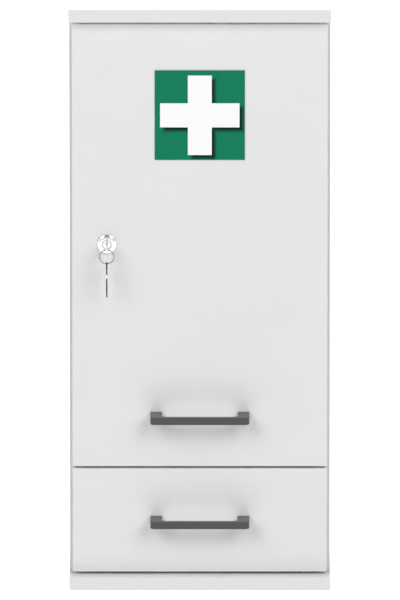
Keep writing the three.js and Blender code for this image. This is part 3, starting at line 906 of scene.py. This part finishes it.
def head_tree() -> bpy.types.NodeTree:
    """Builds the tree that sets a cross-recessed head on each point.

    Returns:
        The tree.
    """
    tree, start, end = new_tree("cross_heads", HEAD_SIZES)
    sizes = start.outputs
    crown = add(
        tree, "ShaderNodeMath", {0: sizes["Radius"], 1: HEAD_CROWN}, operation="MULTIPLY"
    ).outputs[0]
    top = add(
        tree,
        "GeometryNodeMeshCone",
        {
            "Vertices": HEAD_SIDES,
            "Radius Top": crown,
            "Radius Bottom": sizes["Radius"],
            "Depth": sizes["Height"],
        },
    ).outputs["Mesh"]
    deep = add(tree, "ShaderNodeMath", {0: sizes["Slot Depth"], 1: 2.0}, operation="MULTIPLY").outputs[0]
    high = add(tree, "ShaderNodeCombineXYZ", {"Z": sizes["Height"]}).outputs[0]
    slots = []
    for along, across in (("Slot Length", "Slot Width"), ("Slot Width", "Slot Length")):
        box = {"X": sizes[along], "Y": sizes[across], "Z": deep}
        size = add(tree, "ShaderNodeCombineXYZ", box).outputs[0]
        cube = add(tree, "GeometryNodeMeshCube", {"Size": size}).outputs["Mesh"]
        lift = {"Geometry": cube, "Translation": high}
        slots.append(add(tree, "GeometryNodeTransform", lift).outputs[0])
    cut = {"Mesh 1": top, "Mesh 2": slots}
    head = add(tree, "GeometryNodeMeshBoolean", cut, operation="DIFFERENCE").outputs["Mesh"]
    turn = add(tree, "GeometryNodeInputNamedAttribute", {"Name": "turn"}, data_type="FLOAT_VECTOR")
    facing = add(tree, "FunctionNodeEulerToRotation", {0: turn.outputs["Attribute"]}).outputs[0]
    spread = add(
        tree,
        "GeometryNodeInstanceOnPoints",
        {"Points": sizes["Geometry"], "Instance": head, "Rotation": facing},
    ).outputs[0]
    close_tree(tree, start, end, spread)
    return tree


# The ring's turns, steps in a turn and facets round its wire
RING_TURNS = 1.92
RING_STEPS = 48
WIRE_SIDES = 10


def ring_tree() -> bpy.types.NodeTree:
    """Builds the tree of a split ring: flat wire wound twice round.

    Returns:
        The tree.
    """
    tree, start, end = new_tree("split_ring", ("Radius", "Wire", "Pitch"))
    sizes = start.outputs
    height = add(
        tree, "ShaderNodeMath", {0: sizes["Pitch"], 1: RING_TURNS}, operation="MULTIPLY"
    ).outputs[0]
    path = add(
        tree,
        "GeometryNodeCurveSpiral",
        {
            "Resolution": RING_STEPS,
            "Rotations": RING_TURNS,
            "Start Radius": sizes["Radius"],
            "End Radius": sizes["Radius"],
            "Height": height,
        },
    ).outputs[0]
    wire = add(
        tree, "GeometryNodeCurvePrimitiveCircle", {"Resolution": WIRE_SIDES, "Radius": sizes["Wire"]}
    ).outputs["Curve"]
    tube = add(
        tree, "GeometryNodeCurveToMesh", {"Curve": path, "Profile Curve": wire, "Fill Caps": True}
    ).outputs[0]
    close_tree(tree, start, end, tube)
    return tree


def grown(
    name: str,
    tree: bpy.types.NodeTree,
    sizes: dict[str, float],
    surface: Surface,
    spots: Sequence[tuple[Vector, Euler]],
) -> bpy.types.Mesh:
    """Runs a geometry tree on a set of points and keeps the plain mesh.

    Args:
        name: The mesh's name.
        tree: The tree.
        sizes: Its sizes in millimetres, by name.
        surface: The finish of what it makes.
        spots: Where the points are and how each is turned.

    Returns:
        The mesh.
    """
    points = bpy.data.meshes.new(name)
    points.from_pydata([tuple(place) for place, _ in spots], [], [])
    turns = points.attributes.new("turn", "FLOAT_VECTOR", "POINT")
    for item, (_, turn) in zip(turns.data, spots):
        item.vector = tuple(turn)
    obj = workpiece(name + "_points", points)
    grow = obj.modifiers.new("grow", "NODES")
    grow.node_group = tree
    names = group_inputs(tree)
    for size, value in sizes.items():
        grow[names[size]] = value * MM
    grow[names["Material"]] = material(surface)
    mesh = bake(obj)
    mesh.name = name
    mesh.shade_smooth()
    mesh.set_sharp_from_angle(angle=math.radians(CRISP_DEGREES))
    return mesh


# Ways that a head can look, as turns from +Z, each with the odd angle that its cross stopped at
FACING_BACK = Euler((-math.pi / 2, 0, 0.6))
FACING_LEFT = Euler((0.4, -math.pi / 2, 0))
FACING_RIGHT = Euler((0.3, math.pi / 2, 0))
FACING_DOWN = Euler((math.pi, 0, 0.5))


@dataclass
class Heads:
    """A set of small heads of one size: screws, or caps over fittings."""

    radius: float
    height: float
    slot_width: float
    slot_length: float
    slot_depth: float

    def made(
        self,
        name: str,
        tree: bpy.types.NodeTree,
        body: Body,
        spots: Sequence[tuple[Vector, Euler]],
        slot: Slot = Slot.ZINC,
        surface: Surface = Surface.ZINC,
    ) -> Piece:
        """Makes one piece of all the heads.

        Args:
            name: The piece's name.
            tree: The tree for heads.
            body: The body that carries them.
            spots: Where each sits and how it is turned.
            slot: The record's slot.
            surface: Their finish.

        Returns:
            The piece.
        """
        sizes = dict(zip(HEAD_SIZES, astuple(self)))
        return Piece(name, grown(name, tree, sizes, surface, spots), body, slot, (surface,))


@dataclass
class Carcass(Assembly):
    """The boards that stand still, with shelves, pins, hinge plates, strike and outer slides."""

    heads: bpy.types.NodeTree
    edge_round: float = 0.5
    thin_round: float = 0.4
    hinge_round: float = 0.5
    pin_round: float = 0.5
    strike_round: float = 0.3
    wing_thick: float = 2.2
    screw: Heads = field(default_factory=lambda: Heads(3.4, 1.6, 0.9, 3.6, 0.9))
    flush: Heads = field(default_factory=lambda: Heads(2.9, 0.4, 0.8, 3.2, 0.3))
    cap: Heads = field(default_factory=lambda: Heads(8.5, 0.9, 1.0, 5.0, 0.4))
    wing_screw_inset: float = 5.0
    strike_screw_inset: float = 6.0
    cap_setback: float = 34.0
    cap_row: float = 55.0

    def build(self) -> None:
        """Makes the boards and the fittings on them."""
        flats = {
            "top_panel": Axis.Z,
            "base_panel": Axis.Z,
            "left_side": Axis.X,
            "right_side": Axis.X,
            "wall_rail": Axis.Y,
            "divider": Axis.Z,
            "lower_shelf": Axis.Z,
            "upper_shelf": Axis.Z,
        }
        for node, axis in flats.items():
            self.pieces.append(board(node, axis, Body.CARCASS, self.edge_round))
        node = "back_panel"
        mesh = softened("back_panel_skin", copied(node), self.thin_round, on_box(node))
        self.pieces.append(
            Piece("back_panel_lacquered", mesh, Body.CARCASS, Slot.THIN, (Surface.FIBRE,), (node,))
        )
        for name in ("lower", "upper"):
            for part in ("arm", "plate"):
                node = f"{name}_hinge_{part}"
                self.pieces.append(fitting(node, Body.CARCASS, self.hinge_round))
            for side in ("left", "right"):
                for row in ("front", "back"):
                    node = f"{name}_{side}_{row}_pin"
                    self.pieces.append(fitting(node, Body.CARCASS, self.pin_round))
        rims = on_box("lock_strike")
        self.pieces.append(fitting("lock_strike", Body.CARCASS, self.strike_round, rims))
        self.kept = {"left_slide_outer": Surface.ZINC, "right_slide_outer": Surface.ZINC}
        self.add_screws()
        self.add_caps()

    def add_screws(self) -> None:
        """Adds the screws of the hinge plates and the strike plate."""
        wings = []
        for name in ("lower", "upper"):
            low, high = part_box(f"{name}_hinge_plate")
            y = (low.y + high.y) / 2
            x = high.x - self.wing_thick * MM
            for z in (low.z + self.wing_screw_inset * MM, high.z - self.wing_screw_inset * MM):
                wings.append((Vector((x, y, z)), FACING_LEFT))
        self.pieces.append(self.screw.made("hinge_plate_screws", self.heads, Body.CARCASS, wings))
        low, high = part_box("lock_strike")
        y = (low.y + high.y) / 2
        ends = [
            (Vector((high.x, y, z)), FACING_RIGHT)
            for z in (low.z + self.strike_screw_inset * MM, high.z - self.strike_screw_inset * MM)
        ]
        self.pieces.append(self.flush.made("strike_screws", self.heads, Body.CARCASS, ends))

    def add_caps(self) -> None:
        """Adds the white caps over the joining fittings, under the top and under the divider."""
        spots = []
        left_low, left_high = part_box("left_side")
        right_low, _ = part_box("right_side")
        divider_low, divider_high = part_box("divider")
        rows = (left_low.y + self.cap_row * MM, divider_high.y - self.cap_row * MM)
        for y in rows:
            z = left_high.z - self.cap_setback * MM
            spots.append((Vector((left_high.x, y, z)), FACING_RIGHT))
            spots.append((Vector((right_low.x, y, z)), FACING_LEFT))
            for x in (divider_low.x + self.cap_setback * MM, divider_high.x - self.cap_setback * MM):
                spots.append((Vector((x, y, divider_low.z)), FACING_DOWN))
        self.pieces.append(
            self.cap.made("fitting_caps", self.heads, Body.CARCASS, spots, Slot.BOARD, Surface.CAP)
        )


def bar_handle(name: str, body: Body, round_mm: float) -> Piece:
    """Makes a bar handle with softened rims.

    Args:
        name: The front that carries it.
        body: The body that it rides on.
        round_mm: The rounding of its rims.

    Returns:
        The piece.
    """
    node = f"{name}_handle"
    rims = on_planes([(Axis.Z, corner.z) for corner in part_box(node)])
    mesh = softened(f"{node}_skin", copied(node), round_mm, rims, sharp=CRISP_DEGREES)
    return Piece(f"{node}_coated", mesh, body, Slot.ANTHRACITE, (Surface.ANTHRACITE,), (node,))


@dataclass
class Door(Assembly):
    """The door board with its handle, hinge cups, dots and first-aid sign."""

    heads: bpy.types.NodeTree
    edge_round: float = 0.5
    handle_round: float = 0.7
    screw_round: float = 0.3
    cup_round: float = 0.25
    dot_round: float = 0.7
    sign_round: float = 0.25
    screw: Heads = field(default_factory=lambda: Heads(3.4, 1.4, 0.9, 3.6, 0.8))
    cup_screw_reach: float = 25.0

    def build(self) -> None:
        """Makes the door and what is fixed to it, apart from the lock."""
        self.pieces.append(board("door_panel", Axis.Y, Body.DOOR, self.edge_round))
        self.pieces.append(bar_handle("door", Body.DOOR, self.handle_round))
        for side in ("left", "right"):
            node = f"door_handle_{side}_screw"
            self.pieces.append(fitting(node, Body.DOOR, self.screw_round))
        cups = []
        for name in ("lower", "upper"):
            cup = f"{name}_hinge_cup"
            self.pieces.append(fitting(cup, Body.DOOR, self.cup_round, on_box(cup, 1)))
            self.kept[f"{name}_hinge_pin"] = Surface.ZINC
            dot = f"{name}_buffer"
            self.pieces.append(
                fitting(dot, Body.DOOR, self.dot_round, slot=Slot.BUFFER, surface=Surface.BUFFER)
            )
            low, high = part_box(cup)
            middle = (low + high) / 2
            for step in (-self.cup_screw_reach, self.cup_screw_reach):
                cups.append((Vector((middle.x, high.y, middle.z + step * MM)), FACING_BACK))
        self.pieces.append(self.screw.made("hinge_cup_screws", self.heads, Body.DOOR, cups))
        self.add_sign()

    def add_sign(self) -> None:
        """Adds the green sheet and the white cross on it."""
        for node, slot, surface in (
            ("sign_plate", Slot.GREEN, Surface.GREEN),
            ("sign_cross", Slot.WHITE, Surface.WHITE),
        ):
            self.pieces.append(fitting(node, Body.DOOR, self.sign_round, front_rim(node), slot, surface))


@dataclass
class Lock(Assembly):
    """The cam lock: rosette, plug, case, bolt, two keys and their ring."""

    heads: bpy.types.NodeTree
    barrel: float = 10.0
    bore: float = 6.12
    thick: float = 4.5
    seam: float = 0.25
    lip: float = 1.6
    lip_drop: float = 0.5
    dome: float = 4.6
    dome_drop: float = 0.15
    rim_drop: float = 2.2
    lip_round: float = 0.6
    dome_round: float = 2.4
    rim_round: float = 1.2
    rosette_steps: int = 72
    rosette_sharp: float = 32.0
    ring_radius: float = 11.0
    ring_wire: float = 0.42
    ring_pitch: float = 0.86
    plug_round: float = 0.15
    case_round: float = 0.6
    key_round: float = 0.35
    # The spare key's painted highlight: its span below the key's top, and how far forward a face must
    # look to carry it
    painted_highlight_span: tuple[float, float] = (17.9, 25.0)
    painted_highlight_lean: float = 0.3
    screw: Heads = field(default_factory=lambda: Heads(2.6, 1.1, 0.7, 2.8, 0.6))
    screw_inset: float = 6.0

    def build(self) -> None:
        """Makes the lock from the front of the door to its back."""
        self.add_rosette()
        rim = front_rim("lock_plug")
        self.pieces.append(
            fitting("lock_plug", Body.PLUG, self.plug_round, rim, Slot.BRIGHT, Surface.NICKEL)
        )
        self.pieces.append(fitting("lock_case", Body.DOOR, self.case_round, on_box("lock_case")))
        self.pieces.append(
            fitting("key", Body.KEY, self.key_round, any_edge, Slot.BRIGHT, Surface.SATIN)
        )
        self.add_spare_key()
        self.kept["lock_bolt"] = Surface.ZINC
        self.add_ring()
        low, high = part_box("lock_case")
        inset = self.screw_inset * MM
        spots = [
            (Vector((x, high.y, z)), FACING_BACK)
            for x in (low.x + inset, high.x - inset)
            for z in (low.z + inset, high.z - inset)
        ]
        self.pieces.append(self.screw.made("lock_case_screws", self.heads, Body.DOOR, spots))

    def add_rosette(self) -> None:
        """Adds the domed rosette and its barrel through the door."""
        low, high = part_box("lock_barrel")
        centre = Vector(((low.x + high.x) / 2, 0, (low.z + high.z) / 2))
        radius = (high.x - low.x) / 2 / MM
        front = low.y / MM
        back = high.y / MM
        seat = front + self.thick - self.seam
        profile = rounded(
            [
                (self.bore, front + self.lip_drop),
                (self.bore + self.lip, front),
                (radius - self.dome, front + self.dome_drop),
                (radius, front + self.rim_drop),
                (radius, seat),
                (self.barrel, seat),
                (self.barrel, back),
                (self.bore, back),
            ],
            {1: self.lip_round, 2: self.dome_round, 3: self.rim_round},
        )
        shape = turned(profile, centre, self.rosette_steps)
        mesh = softened("rosette_skin", shape, 0, any_edge, sharp=self.rosette_sharp)
        self.pieces.append(
            Piece("lock_rosette", mesh, Body.DOOR, Slot.BRIGHT, (Surface.NICKEL,), ("lock_barrel",))
        )

    def add_spare_key(self) -> None:
        """Adds the spare key, dark in part as a painted dark reflection, with a painted highlight: a
        band of bright satin metal on its front edge where the bow meets the blade.
        """
        node = "spare_key"
        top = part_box(node)[1].z
        # Cuts the key at both ends of the painted highlight's band
        upper, lower = (top - drop * MM for drop in self.painted_highlight_span)
        shape = copied(node)
        for z in (upper, lower):
            every = [*shape.verts, *shape.edges, *shape.faces]
            bmesh.ops.bisect_plane(shape, geom=every, plane_co=(0, 0, z), plane_no=(0, 0, 1))

        def paint(centre: Vector, normal: Vector) -> int:
            """Picks the bright metal of the painted highlight on the front edge."""
            return int(lower < centre.z < upper and normal.y < -self.painted_highlight_lean)

        mesh = softened("spare_key_skin", shape, self.key_round, any_edge, FITTING_STEPS)
        surfaces = (Surface.BURNISHED_DARK_REFLECTION, Surface.SATIN)
        self.pieces.append(
            Piece("spare_key_finished", mesh, Body.SPARE, Slot.BRIGHT, surfaces, (node,), paint)
        )

    def add_ring(self) -> None:
        """Adds the split ring that carries both keys."""
        low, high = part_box("key_ring")
        middle = (low + high) / 2
        sizes = {"Radius": self.ring_radius, "Wire": self.ring_wire, "Pitch": self.ring_pitch}
        # The ring's dark tone is partly a painted dark reflection
        mesh = grown("key_ring_split", ring_tree(), sizes, Surface.BURNISHED_DARK_REFLECTION, [(Vector(), Euler())])
        half = self.ring_pitch * RING_TURNS / 2 * MM
        mesh.transform(Matrix.Translation((0, 0, -half)))
        mesh.transform(Matrix.Rotation(math.pi / 2, 4, "X"))
        mesh.transform(Matrix.Translation(middle))
        self.pieces.append(
            Piece("key_ring_split", mesh, Body.RING, Slot.BRIGHT, (Surface.BURNISHED_DARK_REFLECTION,), ("key_ring",))
        )


@dataclass
class Drawer(Assembly):
    """The drawer: front, handle, box, floor and the moving slides."""

    edge_round: float = 0.5
    box_round: float = 0.6
    floor_round: float = 0.4
    handle_round: float = 0.7
    screw_round: float = 0.3

    def build(self) -> None:
        """Makes the drawer's boards and fittings."""
        self.pieces.append(board("drawer_front", Axis.Y, Body.DRAWER, self.edge_round))
        self.pieces.append(bar_handle("drawer", Body.DRAWER, self.handle_round))
        for side in ("left", "right"):
            node = f"drawer_handle_{side}_screw"
            self.pieces.append(fitting(node, Body.DRAWER, self.screw_round))
            self.pieces.append(board(f"drawer_{side}_side", Axis.X, Body.DRAWER, self.box_round))
            self.kept[f"{side}_slide_inner"] = Surface.ZINC
            self.kept[f"{side}_slide_middle"] = Surface.ZINC
        self.pieces.append(board("drawer_back", Axis.Y, Body.DRAWER, self.box_round))
        node = "drawer_bottom"
        mesh = softened("drawer_floor_skin", copied(node), self.floor_round, on_box(node))
        self.pieces.append(
            Piece("drawer_floor_lacquered", mesh, Body.DRAWER, Slot.THIN, (Surface.FIBRE,), (node,))
        )


@dataclass(frozen=True)
class Softbox:
    """A square soft light, placed in metres."""

    name: str
    place: tuple[float, float, float]
    target: tuple[float, float, float]
    power: float
    size: float

    def hang(self) -> None:
        """Puts the light in the scene, turned to its target."""
        lamp = bpy.data.lights.new(self.name, "AREA")
        lamp.energy = self.power
        lamp.size = self.size
        obj = bpy.data.objects.new(self.name, lamp)
        obj.location = self.place
        way = Vector(self.target) - Vector(self.place)
        obj.rotation_euler = way.to_track_quat("-Z", "Y").to_euler()
        bpy.context.scene.collection.objects.link(obj)


@dataclass
class Studio:
    """The pale floor, the soft lights and the camera at the photograph's angle.

    The room's light goes by how far its direction points up: the sky is above the
    blend at the horizon, the ground below it, and the lit table from its edge down
    to straight below. Reflections see the white backdrop up to the top of its wall.
    Lights and floor are in metres, and the camera's aim is in millimetres.
    """

    elevation: float = 16.0
    lens: float = 1050.0
    sensor: float = 36.0
    image_height: float = 600.0
    mm_per_pixel: float = 1.525
    aim: tuple[float, float, float] = (0.3, -175.0, 463.1)
    sky: float = 0.37
    ground: float = 0.2
    table: float = 4.1
    horizon: float = 0.25
    table_edge: float = -0.45
    wall_top: float = 0.35
    wall_blend: float = 0.05
    floor_glow: float = 0.6
    floor_tone: str = "#F4F4F4"
    floor_roughness: float = 0.9
    floor_reach: float = 30.0
    floor_drop: float = 0.0005
    lights: tuple[Softbox, ...] = (
        Softbox("rim_softbox", (0.0, 3.2, 1.85), (0.0, 0.0, 0.92), 36.0, 1.2),
        Softbox("front_softbox_left", (-11.0, -14.6, 13.4), (0.0, 0.0, 0.45), 2000.0, 12.0),
        Softbox("front_softbox_right", (11.0, -14.6, 13.4), (0.0, 0.0, 0.45), 2000.0, 12.0),
        Softbox("back_softbox_left", (-1.9, 2.6, 2.8), (0.0, 0.0, 0.45), 14.0, 1.5),
        Softbox("back_softbox_right", (1.9, 2.6, 2.8), (0.0, 0.0, 0.45), 14.0, 1.5),
    )

    def build(self) -> None:
        """Makes the floor, lights and camera."""
        scene = bpy.context.scene
        scene.view_settings.view_transform = "Standard"
        scene.view_settings.look = "None"
        self.add_floor()
        self.add_world(scene)
        for light in self.lights:
            light.hang()
        self.add_camera(scene)

    def add_floor(self) -> None:
        """Lays a pale floor that glows a little, like a lit table."""
        shape = bmesh.new()
        bmesh.ops.create_grid(shape, x_segments=1, y_segments=1, size=self.floor_reach)
        mesh = bpy.data.meshes.new("floor")
        shape.to_mesh(mesh)
        shape.free()
        paint = bpy.data.materials.new("matt_pale_floor")
        paint.use_nodes = True
        shader = paint.node_tree.nodes["Principled BSDF"]
        shader.inputs["Base Color"].default_value = linear(self.floor_tone)
        shader.inputs["Roughness"].default_value = self.floor_roughness
        shader.inputs["Emission Color"].default_value = (1.0, 1.0, 1.0, 1.0)
        shader.inputs["Emission Strength"].default_value = self.floor_glow
        mesh.materials.append(paint)
        floor = workpiece("floor", mesh)
        floor.location.z = -self.floor_drop
        floor.visible_diffuse = False

    def add_world(self, scene: bpy.types.Scene) -> None:
        """Fills the room with white light, strongest from the lit table, before a white backdrop.

        Args:
            scene: The scene.
        """
        world = bpy.data.worlds.new("white_room")
        world.use_nodes = True
        tree = world.node_tree
        sky = tree.nodes["Background"]
        sky.inputs["Color"].default_value = (1.0, 1.0, 1.0, 1.0)
        way = add(tree, "ShaderNodeTexCoord").outputs["Generated"]
        rise = add(tree, "ShaderNodeSeparateXYZ", {0: way}).outputs["Z"]
        below = add(
            tree,
            "ShaderNodeMapRange",
            {"Value": rise, 1: -1.0, 2: self.table_edge, 3: self.table, 4: self.ground},
        ).outputs[0]
        fill = add(
            tree,
            "ShaderNodeMapRange",
            {"Value": rise, 1: -self.horizon, 2: self.horizon, 3: below, 4: self.sky},
        ).outputs[0]
        ray = add(tree, "ShaderNodeLightPath").outputs
        low, high = self.wall_top - self.wall_blend, self.wall_top + self.wall_blend
        wall = add(
            tree, "ShaderNodeMapRange", {"Value": rise, 1: low, 2: high, 3: ray["Is Glossy Ray"], 4: 0.0}
        ).outputs[0]
        seen = add(
            tree, "ShaderNodeMath", {0: ray["Is Camera Ray"], 1: wall}, operation="MAXIMUM"
        ).outputs[0]
        add(
            tree,
            "ShaderNodeMix",
            {0: seen, 2: fill, 3: 1.0},
            {0: sky.inputs["Strength"]},
            data_type="FLOAT",
        )
        scene.world = world

    def add_camera(self, scene: bpy.types.Scene) -> None:
        """Sets the camera far back and above, so that the sides stay upright.

        Args:
            scene: The scene.
        """
        view = bpy.data.cameras.new("camera")
        view.lens = self.lens
        view.sensor_width = self.sensor
        angle = math.radians(self.elevation)
        distance = self.lens * self.mm_per_pixel * self.image_height / self.sensor * MM
        back = Vector((0.0, -math.cos(angle), math.sin(angle)))
        view.clip_end = 2 * distance
        obj = bpy.data.objects.new("camera", view)
        obj.location = Vector(self.aim) * MM + back * distance
        obj.rotation_euler = (-back).to_track_quat("-Z", "Y").to_euler()
        scene.collection.objects.link(obj)
        scene.camera = obj


def main() -> None:
    """Builds and dresses every sub-assembly, then the studio."""
    logging.basicConfig(level=logging.INFO, format="%(name)s: %(message)s")
    heads = head_tree()
    for part in (Carcass(heads), Door(heads), Lock(heads), Drawer()):
        part.build()
        part.dress()
    Studio().build()


if __name__ == "__main__":
    main()
